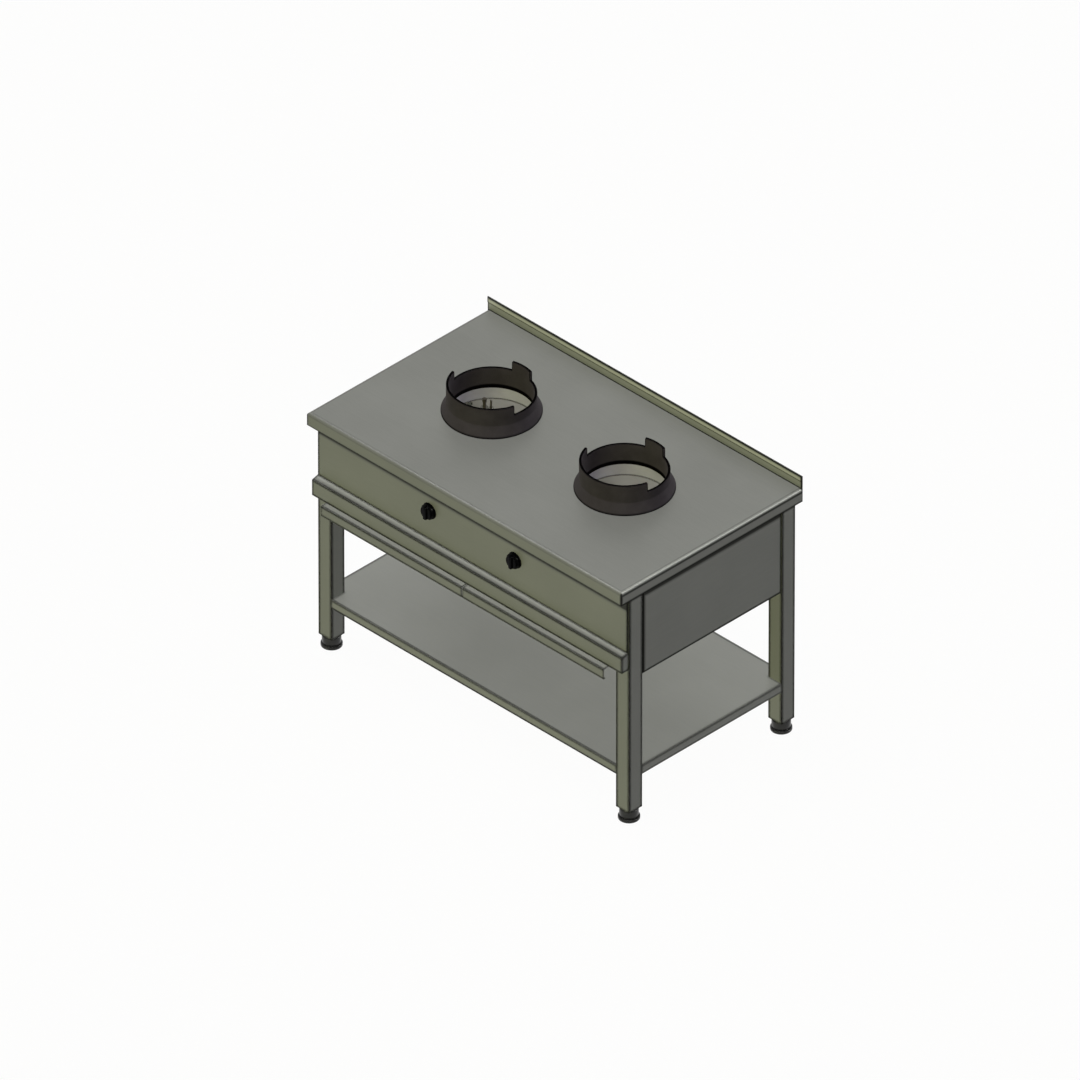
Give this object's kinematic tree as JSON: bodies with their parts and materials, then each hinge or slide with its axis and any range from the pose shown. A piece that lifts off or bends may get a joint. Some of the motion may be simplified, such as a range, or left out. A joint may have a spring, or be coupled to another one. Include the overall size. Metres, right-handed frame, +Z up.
{
  "type": "wok range",
  "caption": "Free-standing gas wok range with cast rings on a pressed worktop, black control knobs, pull-out drip trays, a lower shelf and levelling feet.",
  "frame": {"origin": "middle of the footprint, on the floor", "axes": "+X to the right along the worktop's length, +Y to the back, +Z up"},
  "size_m": [1.3, 0.758, 0.945],
  "materials": {
    "sheet_steel": "satin",
    "inner_steel": "dull",
    "fixings": "zinc plated",
    "cast_iron": "raw, matt",
    "brass": "machined",
    "copper": "drawn",
    "knob_black": "satin black",
    "foot_dark": "dark satin"
  },
  "bodies": {
    "range_frame": {"worktop": "sheet_steel", "control_panel": "sheet_steel", "front_rail": "sheet_steel", "side_panel_left": "sheet_steel", "side_panel_right": "sheet_steel", "back_panel": "sheet_steel", "leg_front_left": "sheet_steel", "leg_front_right": "sheet_steel", "leg_back_left": "sheet_steel", "leg_back_right": "sheet_steel", "shelf": "sheet_steel", "burner_bowl_left": "sheet_steel", "burner_bowl_right": "sheet_steel", "worktop_channels": "inner_steel", "centre_divider": "inner_steel", "leg_inserts": "inner_steel", "runner_left": "inner_steel", "runner_right": "inner_steel", "runner_middle": "inner_steel", "shelf_channels": "inner_steel", "burner_channel_left": "inner_steel", "burner_channel_right": "inner_steel", "gas_manifold": "inner_steel", "manifold_brackets": "inner_steel", "gas_pipe_left": "inner_steel", "gas_pipe_right": "inner_steel", "runner_screws": "fixings", "bowl_nuts": "fixings", "burner_bolts": "fixings", "burner_left": "cast_iron", "burner_right": "cast_iron", "burner_head_left": "brass", "burner_head_right": "brass", "injector_left": "brass", "injector_right": "brass", "pilot_left": "brass", "pilot_right": "brass", "gas_inlet": "brass", "gas_tap_left": "brass", "gas_tap_right": "brass", "thermocouple_left": "copper", "thermocouple_right": "copper", "bezel_left": "knob_black", "bezel_right": "knob_black"},
    "ring_left": {"wok_ring_left": "cast_iron"},
    "ring_right": {"wok_ring_right": "cast_iron"},
    "tray_left": {"drip_tray_left": "sheet_steel"},
    "tray_right": {"drip_tray_right": "sheet_steel"},
    "plunger_left": {"tap_plunger_left": "fixings"},
    "plunger_right": {"tap_plunger_right": "fixings"},
    "dial_left": {"knob_left": "knob_black", "tap_spindle_left": "fixings"},
    "dial_right": {"knob_right": "knob_black", "tap_spindle_right": "fixings"},
    "levelling_front_left": {"foot_front_left": "foot_dark"},
    "levelling_front_right": {"foot_front_right": "foot_dark"},
    "levelling_back_left": {"foot_back_left": "foot_dark"},
    "levelling_back_right": {"foot_back_right": "foot_dark"}
  },
  "joints": [
    {"name": "ring_left_lift", "type": "slide", "parent": "range_frame", "child": "ring_left", "axis": [0, 0, 1], "range_m": [0, 0.12]},
    {"name": "tray_left_pull", "type": "slide", "parent": "range_frame", "child": "tray_left", "axis": [0, -1, 0], "range_m": [0, 0.5]},
    {"name": "knob_left_push", "type": "slide", "parent": "range_frame", "child": "plunger_left", "axis": [0, 1, 0], "range_m": [0, 0.004], "stiffness_N_per_m": 1500, "springref_m": -0.003},
    {"name": "knob_left_turn", "type": "hinge", "parent": "plunger_left", "child": "dial_left", "pos_m": [-0.1765, -0.338, 0.716], "axis": [0, -1, 0], "range_deg": [0, 210]},
    {"name": "ring_right_lift", "type": "slide", "parent": "range_frame", "child": "ring_right", "axis": [0, 0, 1], "range_m": [0, 0.12]},
    {"name": "tray_right_pull", "type": "slide", "parent": "range_frame", "child": "tray_right", "axis": [0, -1, 0], "range_m": [0, 0.5]},
    {"name": "knob_right_push", "type": "slide", "parent": "range_frame", "child": "plunger_right", "axis": [0, 1, 0], "range_m": [0, 0.004], "stiffness_N_per_m": 1500, "springref_m": -0.003},
    {"name": "knob_right_turn", "type": "hinge", "parent": "plunger_right", "child": "dial_right", "pos_m": [0.1765, -0.338, 0.716], "axis": [0, -1, 0], "range_deg": [0, 210]},
    {"name": "foot_front_left_screw", "type": "slide", "parent": "range_frame", "child": "levelling_front_left", "axis": [0, 0, -1], "range_m": [0, 0.025]},
    {"name": "foot_front_right_screw", "type": "slide", "parent": "range_frame", "child": "levelling_front_right", "axis": [0, 0, -1], "range_m": [0, 0.025]},
    {"name": "foot_back_left_screw", "type": "slide", "parent": "range_frame", "child": "levelling_back_left", "axis": [0, 0, -1], "range_m": [0, 0.025]},
    {"name": "foot_back_right_screw", "type": "slide", "parent": "range_frame", "child": "levelling_back_right", "axis": [0, 0, -1], "range_m": [0, 0.025]}
  ]
}
